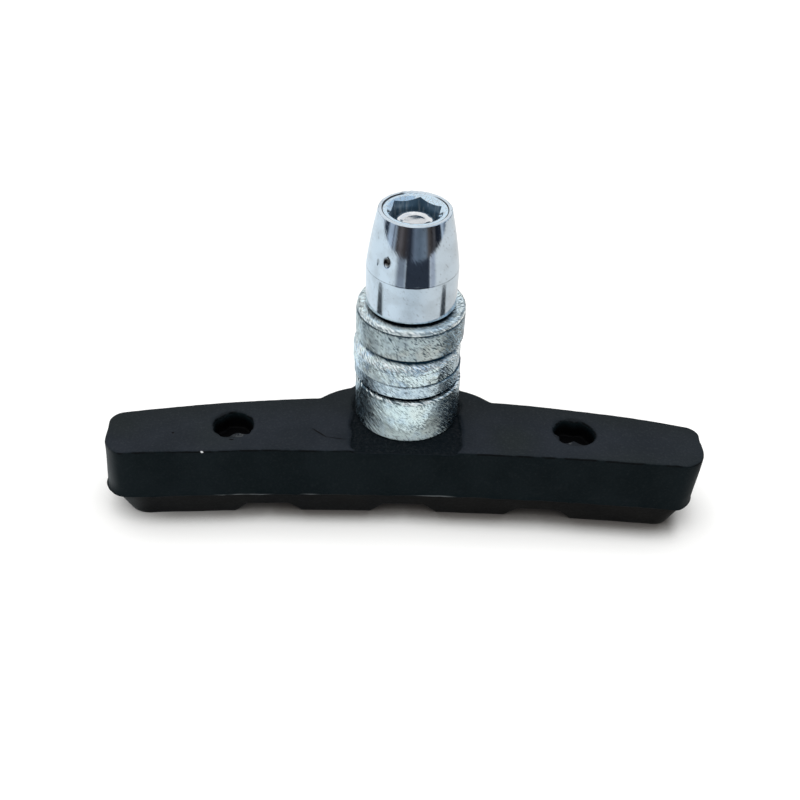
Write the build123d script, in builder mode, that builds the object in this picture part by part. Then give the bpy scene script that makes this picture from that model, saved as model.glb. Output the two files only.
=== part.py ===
"""Bicycle rim brake pad with a threaded stud: moulded rubber pad, ball-seat washers and a socket nut.

Millimetres. The pad lies on its friction face with the stud upright.
X runs along the pad, Z up the stud, and -Y is the side of the pad's hollow edge.
The origin is where the stud's axis meets the friction face.
"""

import os
from math import atan2, cos, degrees, radians, sin, sqrt, tan

from build123d import *

os.makedirs("parts", exist_ok=True)

# Rubber pad, measured on its parting line
pad_length = 70.0
pad_front = 8.5  # stud axis to the hollow edge at mid length
pad_back = 1.8  # stud axis to the bulging edge at mid length
front_arc_radius = 370.0
back_arc_radius = 141.0
front_corner_radius = 2.6
back_corner_radius = 1.6
body_height = 6.6  # parting line to the pad's back
body_draft = 3.0  # degrees
body_edge_chamfer = 0.3
block_height = 3.7  # friction face to the parting line
block_ledge = 0.25  # step from the parting line to the friction blocks
block_front_slope = 1.1  # lean of the blocks' front sides over their height
block_back_slope = 0.5  # lean of the blocks' back sides over their height
block_end_slope = 3.6  # lean of the outer blocks' ends over their height
block_edge_chamfer = 0.15

# Water grooves across the friction face
groove_count = 3
groove_pitch = 16.1
groove_mouth = 8.0
groove_floor = 4.8
groove_depth = 1.5

# Round boss on the bulging edge, which carries the washers
boss_wall = 1.2  # rubber round the seat pocket
boss_shoulder_angle = 28.0  # degrees from the pad's length to where the flare runs into the round
boss_flare = 10.7  # half width where the flare leaves the pad's edge
boss_flare_bulge = 0.35
boss_blend_radius = 1.2

# Seat pocket for the lower washer, open at the hollow edge
pocket_clearance = 0.35  # round the washer
pocket_depth = 0.35
pocket_corner_radius = 2.0

# Core-pin holes, which reach the backing plate
pin_hole_diameter = 4.6
pin_hole_spacing = 40.0
pin_hole_offset = 0.25  # from the pad's mid line towards the bulging edge

# Steel backing plate inside the rubber
plate_thickness = 1.6
plate_end_margin = 5.0  # rubber beyond the plate's ends
plate_cover = 2.0  # rubber over the plate, under the pocket
plate_margin = 1.7  # rubber beside the plate
plate_corner_radius = 1.5

# Threaded stud
stud_diameter = 6.0
stud_head_diameter = 9.6
stud_head_thickness = 1.6
stud_tip_clearance = 0.325  # in the nut's socket
stud_tip_chamfer = 0.3
stud_tip_drop = 1.3  # stud tip to the nut's rim
stud_runout = 0.25  # end of the thread to the floor of the nut's socket

# Ball-seat washers
washer_diameter = 12.2
washer_edge_chamfer = 0.2
washer_bore_clearance = 0.2  # round the stud
dome_bore_clearance = 0.7  # round the stud, with room to tilt
seat_radius = 9.2
seat_clearance = 0.03
lower_cup_height = 5.7
lower_dome_rim = 1.56
lower_gap = 0.66  # open gap at the rim between the lower washers
upper_dome_rim = 1.87
upper_dome_shoulder = 1.2
upper_dome_inset = 0.3  # how far the shoulder draws in
upper_gap = 0.43  # open gap at the rim between the upper washers
upper_cup_height = 3.3
flat_washer_diameter = 12.1
flat_washer_thickness = 0.7
edge_limit = 0.45  # most of a wall that one chamfer may take

# Barrel nut
nut_diameter = 10.1
nut_height = 11.5
nut_barrel_height = 4.9
nut_top_diameter = 8.0
nut_bulge = 0.09  # swell of the taper over a straight cone
nut_lip_chamfer = 0.25
nut_foot_chamfer = 0.4
nut_thread_clearance = 0.08
dish_land = 0.2  # flat between the lip and the dish
dish_depth = 0.15
socket_across_flats = 5.05
socket_depth = 3.2
socket_turn = 19.0  # degrees

# Heights that follow
pad_thickness = block_height + body_height
pocket_floor = pad_thickness - pocket_depth
plate_top = pocket_floor - plate_cover
plate_bottom = plate_top - plate_thickness
stud_foot = plate_bottom - stud_head_thickness
lower_cup_top = pocket_floor + lower_cup_height
lower_dome_foot = lower_cup_top + lower_gap
clamp_plane = lower_dome_foot + lower_dome_rim
shoulder_foot = clamp_plane + upper_dome_rim
shoulder_top = shoulder_foot + upper_dome_shoulder
upper_cup_foot = shoulder_top + upper_gap
upper_cup_top = upper_cup_foot + upper_cup_height
nut_foot = upper_cup_top + flat_washer_thickness
nut_shoulder = nut_foot + nut_barrel_height
nut_top = nut_foot + nut_height
socket_floor = nut_top - socket_depth
thread_end = socket_floor - stud_runout
stud_top = nut_top - stud_tip_drop

# Radii that follow
stud_radius = stud_diameter / 2
washer_radius = washer_diameter / 2
bore_radius = stud_radius + washer_bore_clearance
dome_bore_radius = stud_radius + dome_bore_clearance
cup_seat_radius = seat_radius + seat_clearance
pocket_radius = washer_radius + pocket_clearance
boss_radius = pocket_radius + boss_wall
tip_radius = socket_across_flats / 2 - stud_tip_clearance
nut_radius = nut_diameter / 2
nut_top_radius = nut_top_diameter / 2
nut_bore_radius = stud_radius + nut_thread_clearance
dish_radius = nut_top_radius - nut_lip_chamfer - dish_land


def rise(radius, x):
    """How far an arc of this radius has left its tangent at the distance x."""
    return radius - sqrt(radius**2 - x**2)


def ball_height(radius, r):
    """Height of a ball's surface over its centre, at the distance r from its axis."""
    return sqrt(radius**2 - r**2)


def ball_width(radius, height):
    """Distance of a ball's surface from its axis, at this height over its centre."""
    return sqrt(radius**2 - height**2)


def crescent(length, front, back, front_corner, back_corner):
    """Face of the pad's plan: hollow arc in front, bulging arc behind, rounded ends."""
    half = length / 2
    front_end = -front - rise(front_arc_radius, half)
    back_end = back - rise(back_arc_radius, half)
    with BuildSketch(mode=Mode.PRIVATE) as plan:
        with BuildLine():
            ThreePointArc((-half, front_end), (0, -front), (half, front_end))
            Line((half, front_end), (half, back_end))
            ThreePointArc((half, back_end), (0, back), (-half, back_end))
            Line((-half, back_end), (-half, front_end))
        make_face()
        fillet(plan.vertices().group_by(Axis.Y)[0], radius=front_corner)
        fillet(plan.vertices().group_by(Axis.Y)[-1], radius=back_corner)
    return plan.sketch


def pad_plan(inset):
    """Face of the pad's back: the crescent and the boss that flares from it, drawn in by the inset."""
    flare = boss_flare - inset
    flare_root = pad_back - inset - rise(back_arc_radius, flare)
    boss = boss_radius - inset
    shoulder = boss * cos(radians(boss_shoulder_angle))
    shoulder_back = boss * sin(radians(boss_shoulder_angle))
    middle_x = (flare + shoulder) / 2
    middle_y = (flare_root + shoulder_back) / 2 + boss_flare_bulge
    with BuildSketch(mode=Mode.PRIVATE) as plan:
        add(
            crescent(
                pad_length - 2 * inset,
                pad_front - inset,
                pad_back - inset,
                front_corner_radius - inset,
                back_corner_radius - inset,
            )
        )
        with BuildLine():
            ThreePointArc((flare, flare_root), (middle_x, middle_y), (shoulder, shoulder_back))
            ThreePointArc((shoulder, shoulder_back), (0, boss), (-shoulder, shoulder_back))
            ThreePointArc((-shoulder, shoulder_back), (-middle_x, middle_y), (-flare, flare_root))
            Polyline((-flare, flare_root), (0, -pad_front / 2), (flare, flare_root))
        make_face()
        corners = plan.vertices().sort_by(lambda vertex: abs(vertex.X))[:4]
        fillet(corners, radius=boss_blend_radius)
    return plan.sketch


def block_plan(drop, edge):
    """Face of the friction blocks' plan this far below the parting line, drawn in by the edge's chamfer."""
    lean = drop / block_height
    return crescent(
        pad_length - 2 * (block_ledge + block_end_slope * lean + edge),
        pad_front - block_ledge - block_front_slope * lean - edge,
        pad_back - block_ledge - block_back_slope * lean - edge,
        front_corner_radius,
        back_corner_radius,
    )


# Ball centres of the two washer pairs
lower_ball = lower_dome_foot + ball_height(seat_radius, washer_radius)
upper_ball = shoulder_top - ball_height(seat_radius, washer_radius - upper_dome_inset)

# Steel backing plate, with an eye round the stud
plate_length = pad_length - 2 * plate_end_margin
plate_front = pad_front - plate_margin
plate_back = pad_back - plate_margin
with BuildPart() as backing_plate:
    with BuildSketch(Plane.XY.offset(plate_bottom)):
        add(crescent(plate_length, plate_front, plate_back, plate_corner_radius, plate_corner_radius))
        Circle(boss_radius - plate_margin)
        Circle(stud_radius, mode=Mode.SUBTRACT)
    extrude(amount=plate_thickness)

# Stud: flat head under the plate, M6 shank and a plain pilot tip
with BuildPart() as stud:
    with BuildSketch(Plane.XZ):
        with BuildLine():
            Polyline(
                (0, stud_foot),
                (stud_head_diameter / 2, stud_foot),
                (stud_head_diameter / 2, plate_bottom),
                (stud_radius, plate_bottom),
                (stud_radius, thread_end - (stud_radius - tip_radius)),
                (tip_radius, thread_end),
                (tip_radius, stud_top - stud_tip_chamfer),
                (tip_radius - stud_tip_chamfer, stud_top),
                (0, stud_top),
                close=True,
            )
        make_face()
    revolve(axis=Axis.Z)

# Rubber pad, moulded round the plate and the stud
body_inset = (body_height - body_edge_chamfer) * tan(radians(body_draft))
groove_slope = degrees(atan2(groove_depth, (groove_mouth - groove_floor) / 2))
pin_hole_x = pin_hole_spacing / 2
pin_hole_front = -pad_front - rise(front_arc_radius, pin_hole_x)
pin_hole_back = pad_back - rise(back_arc_radius, pin_hole_x)
pin_hole_y = (pin_hole_front + pin_hole_back) / 2 + pin_hole_offset
with BuildPart() as pad_body:
    with BuildSketch(Plane.XY.offset(block_height)):
        add(pad_plan(0))
    with BuildSketch(Plane.XY.offset(pad_thickness - body_edge_chamfer)):
        add(pad_plan(body_inset))
    with BuildSketch(Plane.XY.offset(pad_thickness)):
        add(pad_plan(body_inset + body_edge_chamfer))
    loft(ruled=True)
    with BuildSketch(Plane.XY.offset(block_height)):
        add(block_plan(0, 0))
    with BuildSketch(Plane.XY.offset(block_edge_chamfer)):
        add(block_plan(block_height - block_edge_chamfer, 0))
    with BuildSketch(Plane.XY):
        add(block_plan(block_height, block_edge_chamfer))
    loft(ruled=True)
    with BuildSketch(Plane.XZ):
        with GridLocations(groove_pitch, 0, groove_count, 1):
            Trapezoid(groove_mouth, groove_depth, groove_slope, align=(Align.CENTER, Align.MIN))
    extrude(amount=pad_length, both=True, mode=Mode.SUBTRACT)
    with BuildSketch(Plane.XY.offset(pocket_floor)) as pocket:
        Rectangle(2 * pocket_radius, pad_front, align=(Align.CENTER, Align.MAX))
        fillet(pocket.vertices().group_by(Axis.Y)[0], radius=pocket_corner_radius)
        Circle(pocket_radius)
    extrude(amount=pocket_depth, mode=Mode.SUBTRACT)
    with Locations((0, pin_hole_y, pad_thickness)):
        with GridLocations(pin_hole_spacing, 0, 2, 1):
            Hole(pin_hole_diameter / 2, depth=pad_thickness - plate_top)
    add(backing_plate.part, mode=Mode.SUBTRACT)
    add(stud.part, mode=Mode.SUBTRACT)

# Lower cup: thick washer with a hollow ball seat on top
cup_mouth = ball_width(cup_seat_radius, lower_ball - lower_cup_top)
cup_throat = lower_ball - ball_height(cup_seat_radius, bore_radius)
seat_middle = (cup_mouth + bore_radius) / 2
with BuildPart() as lower_cup:
    with BuildSketch(Plane.XZ) as section:
        with BuildLine():
            Polyline(
                (bore_radius, cup_throat),
                (bore_radius, pocket_floor),
                (washer_radius, pocket_floor),
                (washer_radius, lower_cup_top),
                (cup_mouth, lower_cup_top),
            )
            ThreePointArc(
                (cup_mouth, lower_cup_top),
                (seat_middle, lower_ball - ball_height(cup_seat_radius, seat_middle)),
                (bore_radius, cup_throat),
            )
        make_face()
        chamfer(section.vertices().group_by(Axis.X)[-1], length=washer_edge_chamfer)
    revolve(axis=Axis.Z)

# Lower dome: ball face down in the lower cup, flat face up against the brake arm
dome_middle = (washer_radius + dome_bore_radius) / 2
dome_throat = lower_ball - ball_height(seat_radius, dome_bore_radius)
with BuildPart() as lower_dome:
    with BuildSketch(Plane.XZ):
        with BuildLine():
            Polyline(
                (dome_bore_radius, dome_throat),
                (dome_bore_radius, clamp_plane),
                (washer_radius, clamp_plane),
                (washer_radius, lower_dome_foot),
            )
            ThreePointArc(
                (washer_radius, lower_dome_foot),
                (dome_middle, lower_ball - ball_height(seat_radius, dome_middle)),
                (dome_bore_radius, dome_throat),
            )
        make_face()
    revolve(axis=Axis.Z)

# Upper dome: flat face down, rounded shoulder, ball face up
shoulder_radius = washer_radius - upper_dome_inset
dome_middle = (shoulder_radius + dome_bore_radius) / 2
dome_crown = upper_ball + ball_height(seat_radius, dome_bore_radius)
with BuildPart() as upper_dome:
    with BuildSketch(Plane.XZ):
        with BuildLine():
            Polyline(
                (dome_bore_radius, dome_crown),
                (dome_bore_radius, clamp_plane),
                (washer_radius, clamp_plane),
                (washer_radius, shoulder_foot),
            )
            TangentArc((washer_radius, shoulder_foot), (shoulder_radius, shoulder_top), tangent=(0, 1))
            ThreePointArc(
                (shoulder_radius, shoulder_top),
                (dome_middle, upper_ball + ball_height(seat_radius, dome_middle)),
                (dome_bore_radius, dome_crown),
            )
        make_face()
    revolve(axis=Axis.Z)

# Upper cup: thin washer with a hollow ball seat below
cup_mouth = ball_width(cup_seat_radius, upper_cup_foot - upper_ball)
cup_throat = upper_ball + ball_height(cup_seat_radius, bore_radius)
seat_middle = (cup_mouth + bore_radius) / 2
with BuildPart() as upper_cup:
    with BuildSketch(Plane.XZ) as section:
        with BuildLine():
            Polyline(
                (bore_radius, cup_throat),
                (bore_radius, upper_cup_top),
                (washer_radius, upper_cup_top),
                (washer_radius, upper_cup_foot),
                (cup_mouth, upper_cup_foot),
            )
            ThreePointArc(
                (cup_mouth, upper_cup_foot),
                (seat_middle, upper_ball + ball_height(cup_seat_radius, seat_middle)),
                (bore_radius, cup_throat),
            )
        make_face()
        chamfer(section.vertices().group_by(Axis.X)[-1], length=washer_edge_chamfer)
    revolve(axis=Axis.Z)

# Flat washer under the nut
with BuildPart() as flat_washer:
    with BuildSketch(Plane.XY.offset(upper_cup_top)):
        Circle(flat_washer_diameter / 2)
        Circle(bore_radius, mode=Mode.SUBTRACT)
    extrude(amount=flat_washer_thickness)
    rims = flat_washer.edges().filter_by(GeomType.CIRCLE).sort_by(SortBy.RADIUS)[-2:]
    chamfer(rims, length=min(washer_edge_chamfer, edge_limit * flat_washer_thickness))

# Barrel nut: straight foot, swelling taper, dished top with a hex socket
taper_middle = ((nut_radius + nut_top_radius) / 2 + nut_bulge, (nut_shoulder + nut_top) / 2)
with BuildPart() as nut:
    with BuildSketch(Plane.XZ):
        with BuildLine():
            Polyline(
                (nut_top_radius, nut_top),
                (0, nut_top),
                (0, nut_foot),
                (nut_radius, nut_foot),
                (nut_radius, nut_shoulder),
            )
            ThreePointArc((nut_radius, nut_shoulder), taper_middle, (nut_top_radius, nut_top))
        make_face()
    revolve(axis=Axis.Z)
    chamfer(nut.edges().group_by(Axis.Z)[0], length=nut_foot_chamfer)
    chamfer(nut.edges().group_by(Axis.Z)[-1], length=nut_lip_chamfer)
    with BuildSketch(Plane.XY.offset(nut_top)):
        Circle(dish_radius)
    extrude(amount=-dish_depth, mode=Mode.SUBTRACT)
    with BuildSketch(Plane.XY.offset(socket_floor)):
        RegularPolygon(socket_across_flats / 2, 6, major_radius=False, rotation=socket_turn)
    extrude(amount=socket_depth, mode=Mode.SUBTRACT)
    with BuildSketch(Plane.XY.offset(nut_foot)):
        Circle(nut_bore_radius)
    extrude(amount=socket_floor - nut_foot, mode=Mode.SUBTRACT)

pieces = {
    "pad_body": pad_body,
    "backing_plate": backing_plate,
    "stud": stud,
    "lower_cup": lower_cup,
    "lower_dome": lower_dome,
    "upper_dome": upper_dome,
    "upper_cup": upper_cup,
    "flat_washer": flat_washer,
    "nut": nut,
}
for name, piece in pieces.items():
    piece.part.label = name
    export_step(piece.part, f"parts/{name}.step")
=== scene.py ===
import math

import bpy
import numpy as np
from mathutils import Matrix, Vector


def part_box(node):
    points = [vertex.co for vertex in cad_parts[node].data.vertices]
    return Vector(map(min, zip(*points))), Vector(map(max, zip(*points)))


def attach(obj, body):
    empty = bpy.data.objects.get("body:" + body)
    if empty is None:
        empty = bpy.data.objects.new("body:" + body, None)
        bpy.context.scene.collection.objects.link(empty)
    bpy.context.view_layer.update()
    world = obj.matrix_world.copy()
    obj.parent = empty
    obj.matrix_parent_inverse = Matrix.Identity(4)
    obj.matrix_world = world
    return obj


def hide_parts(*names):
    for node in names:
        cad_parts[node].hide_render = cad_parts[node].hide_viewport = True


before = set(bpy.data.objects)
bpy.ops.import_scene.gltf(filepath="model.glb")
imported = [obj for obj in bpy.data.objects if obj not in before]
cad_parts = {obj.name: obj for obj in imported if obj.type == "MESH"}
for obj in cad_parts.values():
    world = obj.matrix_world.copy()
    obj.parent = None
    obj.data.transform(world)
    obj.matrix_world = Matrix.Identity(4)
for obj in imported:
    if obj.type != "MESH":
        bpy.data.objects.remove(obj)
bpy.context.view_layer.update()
mm = 0.001
print("frame loaded with", len(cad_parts), "nodes")


# lowest and highest corner of a node, in millimetres
def boxOf(node):
    return [np.array(corner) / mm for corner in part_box(node)]


padHigh = boxOf("pad_body")[1]
plateTop = boxOf("backing_plate")[1][2]
studLow, studHigh = boxOf("stud")
lowerCupLow, lowerCupHigh = boxOf("lower_cup")
lowerDomeLow, lowerDomeHigh = boxOf("lower_dome")
upperDomeLow, upperDomeHigh = boxOf("upper_dome")
upperCupLow, upperCupHigh = boxOf("upper_cup")
flatWasherLow, flatWasherHigh = boxOf("flat_washer")
nutLow, nutHigh = boxOf("nut")


# one socket of a node tree: sums and products with it add Math nodes
class Wire:
    def __init__(self, tree, socket=None):
        self.tree = tree
        self.socket = socket

    # any node: its settings first, then the values or links of its sockets
    def node(self, kind, settings=None, inputs=None, output=0):
        made = self.tree.nodes.new(kind)
        for name, value in (settings or {}).items():
            if name == "stops":
                setStops(made.color_ramp.elements, value)
            else:
                setattr(made, name, value)
        self.feed(made, inputs or {})
        return Wire(self.tree, made.outputs[output])

    # colours are given without their alpha
    def feed(self, node, inputs):
        for name, value in inputs.items():
            socket = node.inputs[name]
            if isinstance(value, Wire):
                self.tree.links.new(value.socket, socket)
            elif socket.type == "RGBA":
                socket.default_value = (*value, 1)
            else:
                socket.default_value = value

    def math(self, operation, first, second=0.0):
        return self.node("ShaderNodeMath", {"operation": operation}, {0: first, 1: second})

    def __add__(self, other):
        return self.math("ADD", self, other)

    def __sub__(self, other):
        return self.math("SUBTRACT", self, other)

    def __rsub__(self, other):
        return self.math("SUBTRACT", other, self)

    def __mul__(self, other):
        return self.math("MULTIPLY", self, other)

    def __truediv__(self, other):
        return self.math("DIVIDE", self, other)

    def __abs__(self):
        return self.math("ABSOLUTE", self)

    __radd__ = __add__
    __rmul__ = __mul__


# a colour ramp's stops, as (position, colour) from left to right
def setStops(elements, stops):
    while len(elements) < len(stops):
        elements.new(1.0)
    for element, (position, colour) in zip(elements, stops):
        element.position = position
        element.color = (*colour, 1)


# smooth step of a value from 0 at low to 1 at high
def between(value, low, high):
    sockets = {"Value": value, "From Min": low, "From Max": high, "To Min": 0.0, "To Max": 1.0}
    return value.node("ShaderNodeMapRange", {"interpolation_type": "SMOOTHSTEP"}, sockets, "Result")


# the same step downwards, from 1 at low to 0 at high
def below(value, low, high):
    return 1 - between(value, low, high)


# 1 within the inner distance of a centre, 0 past the outer one
def nearTo(value, centre, inner, outer):
    return below(abs(value - centre), inner, outer)


def larger(first, second):
    return first.math("MAXIMUM", first, second)


# the piece's own coordinates, in millimetres
def placeOf(shade):
    place = shade.node("ShaderNodeTexCoord", output="Object")
    return shade.node("ShaderNodeVectorMath", {"operation": "SCALE"}, {0: place, "Scale": 1 / mm})


def axisOf(vector, letter):
    return vector.node("ShaderNodeSeparateXYZ", None, {0: vector}, letter)


# X, Y and Z of a place, and its distance from the stud's axis
def partsOf(place):
    x, y, height = (axisOf(place, letter) for letter in "XYZ")
    return x, y, height, place.math("SQRT", x * x + y * y)


# a place turned about the stud's axis by an angle that changes from point to point
def woundRound(place, angle):
    return place.node("ShaderNodeVectorRotate", {"rotation_type": "Z_AXIS"}, {"Vector": place, "Angle": angle})


# the place moved, turned about Z and stretched, so that a pattern can be laid along it
def laid(place, move=(0, 0, 0), turn=0.0, stretch=(1, 1, 1)):
    sockets = {"Vector": place, "Location": move, "Rotation": (0, 0, turn), "Scale": stretch}
    return place.node("ShaderNodeMapping", {"vector_type": "POINT"}, sockets)


# noise with lumps of about this size in millimetres
def noise(place, size, detail=2.0, roughness=0.5):
    sockets = {"Vector": place, "Scale": 1 / size, "Detail": detail, "Roughness": roughness}
    return place.node("ShaderNodeTexNoise", None, sockets, "Fac")


def mixed(factor, first, second):
    settings = {"data_type": "RGBA", "blend_type": "MIX"}
    return factor.node("ShaderNodeMix", settings, {0: factor, 6: first, 7: second}, 2)


def bumped(height, depth):
    return height.node("ShaderNodeBump", None, {"Height": height, "Strength": 1.0, "Distance": depth * mm}, "Normal")


# a new object, linked to the scene
def newObject(name, data):
    made = bpy.data.objects.new(name, data)
    bpy.context.scene.collection.objects.link(made)
    return made


# a new material: its tree as a wire, and its main shader
def newFinish(name):
    material = bpy.data.materials.new(name)
    material.use_nodes = True
    shader = material.node_tree.nodes["Principled BSDF"]
    return material, Wire(material.node_tree), shader


# pale spot or dark mark: 1 inside an ellipse at a point of the piece, 0 outside
def spot(place, at, size, turn=0.0, soft=0.35):
    # the ellipse is laid on the unit ball by moving, turning back and scaling
    moved = place.node("ShaderNodeVectorMath", {"operation": "SUBTRACT"}, {0: place, 1: at})
    scaled = laid(laid(moved, turn=-turn), stretch=tuple(1 / s for s in size))
    distance = scaled.node("ShaderNodeVectorMath", {"operation": "LENGTH"}, {0: scaled}, "Value")
    return below(distance, 1 - soft, 1 + soft)


# moulded black rubber
rubberLook = {
    # the faces that look up are painted lighter: dust, and a painted sheen from the light above
    "top": ((0.0140, 0.0180, 0.0235), (0.0180, 0.0225, 0.0295)),  # bloom on the faces that look up
    "topGreen": (0.0155, 0.0205, 0.0215),
    "topRear": (0.0120, 0.0155, 0.0170),
    "side": ((0.0022, 0.0055, 0.0070), (0.0045, 0.0085, 0.0105)),
    # the blocks' browner tone is a painted reflection of the floor
    "block": ((0.0030, 0.0032, 0.0034), (0.0058, 0.0057, 0.0054)),
    "pocket": (0.0032, 0.0055, 0.0075),
    # near black: painted shade in the holes, at the pin holes' lips and under the flash, and the dark marks
    "hole": (0.0015, 0.0015, 0.0018),
    "dust": (0.060, 0.065, 0.070),
    "fleck": (0.85, 0.87, 0.88),
    "roughness": 0.5,
    "specular": 0.05,
    # painted sheen on the ends, where light grazes them
    "paintedEndSheen": (0.110, 0.120, 0.125),
    # painted highlight on the flash
    "flash": (0.10, 0.11, 0.115),
    "flashRuns": [(-22.5, -15.0), (-12.5, -9.5), (0.5, 6.5)],  # where the flash catches the light, along X
    "holes": (20.5, 4.0, -4.1, 2.8),  # the middle and half size of the part of each side that holds a pin hole
    "scuffs": [((-19.35, -6.0, 10.2), (0.8, 0.4, 0.6), 0.9), ((19.05, -6.1, 10.2), (0.2, 0.16, 0.5), 0.9)],
    "cracks": [((-10.9, -4.57), (-9.2, -6.0), 0.08), ((-9.3, -5.95), (-6.8, -6.35), 0.045)],  # from, to, half width
    "fleckAt": ((-23.0, -8.98, 10.12), (0.27, 0.13, 0.14), -0.6),
    "dots": [((-26.8, -5.95, 10.3), (0.14, 0.14, 0.4)), ((-20.0, -6.85, 10.3), (0.25, 0.1, 0.4))],
}


# rubber: dust and a painted sheen on top, darker walls, blocks painted browner (a painted reflection of the floor),
# and the marks of moulding and handling
def rubberFinish(look, parting, top, pocketHalf, pocketDepth):
    material, shade, shader = newFinish("moulded rubber")
    place = placeOf(shade)
    x, y, height = partsOf(place)[:3]
    facing = axisOf(shade.node("ShaderNodeNewGeometry", output="Normal"), "Z")
    upward = between(facing, 0.45, 0.9)
    mottle = noise(place, 5.0, 3.0)
    grain = noise(place, 0.28, 3.0, 0.6)
    # the top's colour: dust and a painted sheen from the light above
    bloom = mixed(between(mottle, 0.35, 0.65), *look["top"])
    bloom = mixed(between(noise(place, 14.0, 1.0), 0.5, 0.7), bloom, look["topGreen"])
    # the rear strip follows the curved edge
    bloom = mixed(between(y + x * x * 0.0035, -3.5, 1.5) * 0.7, bloom, look["topRear"])
    # the walls are darker than the painted-light top; the blocks' browner tone is a painted reflection of the floor
    walls, blocks = (mixed(between(mottle, 0.3, 0.7), *look[name]) for name in ("side", "block"))
    colour = mixed(between(height, parting - 0.25, parting - 0.05), blocks, walls)
    colour = mixed(upward * between(height, parting, parting + 1), colour, bloom)
    # the pocket's floor is darker, and the foot of the holes, where no light reaches, gets painted shade
    inPocket = upward * below(height, top - 0.75 * pocketDepth, top - 0.25 * pocketDepth)
    inPocket = inPocket * below(abs(x), pocketHalf, pocketHalf + 0.3)
    colour = mixed(inPocket, colour, look["pocket"])
    holeX, halfX, holeY, halfY = look["holes"]
    deep = nearTo(abs(x), holeX, halfX, halfX + 0.5) * nearTo(y, holeY, halfY, halfY + 0.2)
    deep = deep * below(height, top - 1.3, top - 0.35) * between(height, plateTop - 0.4, plateTop - 0.2)
    colour = mixed(deep, colour, look["hole"])
    # dust in the grain, and a painted sheen on the left end, where light grazes it
    colour = mixed(between(grain, 0.45, 0.8) * (upward * 0.12 + 0.08) * (1 - deep), colour, look["dust"])
    ends = between(0 - x, 32.6, 35.0) * between(height, parting + 0.3, parting + 2)
    ends = ends + between(0 - x, 29.5, 32.5) * below(height, parting - 0.3, parting - 0.1) * 0.35
    colour = mixed(ends * between(mottle, 0.3, 0.6) * (1 - upward) * 0.8, colour, look["paintedEndSheen"])
    # dark marks: a broken line where the top turns down to the front, cracks and dots; and painted shade in a ring at
    # each pin hole's lip
    turning = nearTo(facing, 0.45, 0.2, 0.4) * between(height, top - 0.45, top - 0.35)
    cut = turning * between(noise(laid(place, stretch=(0.35, 1, 1)), 0.6, 2.0), 0.4, 0.55) * 0.75
    for start, end, halfWidth in look["cracks"]:
        turn = math.atan2(end[1] - start[1], end[0] - start[0])
        at = ((start[0] + end[0]) / 2, (start[1] + end[1]) / 2, top)
        cut = cut + spot(place, at, (math.dist(start, end) / 2, halfWidth, 0.5), turn)
    for dotAt, dotSize in look["dots"]:
        cut = cut + spot(place, dotAt, dotSize)
    # painted shade round each pin hole's lip
    for hole in pinHoles:
        wide = hole["radius"] + 0.15
        cut = cut + spot(place, (*hole["at"], top), (wide, wide, 0.3), 0.0, 0.06) * 0.4
    colour = mixed(shade.math("MINIMUM", cut, 1.0), colour, look["hole"])
    colour = mixed(spot(place, *look["fleckAt"]), colour, look["fleck"])
    for scuffAt, scuffSize, share in look["scuffs"]:
        colour = mixed(spot(place, scuffAt, scuffSize) * between(grain, 0.42, 0.6) * share, colour, look["dust"])
    # a painted highlight where the flash catches the light in places, over a painted shadow line under the flash
    level = height - parting + (noise(place, 3.0, 1.0) - 0.5) * 0.1
    runs = x * 0
    for start, end in look["flashRuns"]:
        runs = runs + between(x, start, start + 2) * below(x, end - 2, end)
    runs = runs * between(noise(laid(place, stretch=(0.3, 1, 1)), 0.6, 1.0), 0.3, 0.5)
    colour = mixed(nearTo(level, -0.1, 0.03, 0.1) * 0.8, colour, look["hole"])
    colour = mixed(nearTo(level, 0.04, 0.03, 0.09) * runs * (1 - upward), colour, look["flash"])
    relief = grain * 0.6 + noise(place, 1.1, 2.0) * 0.8 + noise(place, 0.6, 2.0) * inPocket * 7 - cut * 1.5
    roughness = look["roughness"] + (noise(place, 2.2, 2.0) - 0.5) * 0.2
    shade.feed(shader, {"Base Color": colour, "Roughness": roughness, "Specular IOR Level": look["specular"]})
    shade.feed(shader, {"Normal": bumped(relief, 0.035)})
    return material
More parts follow.
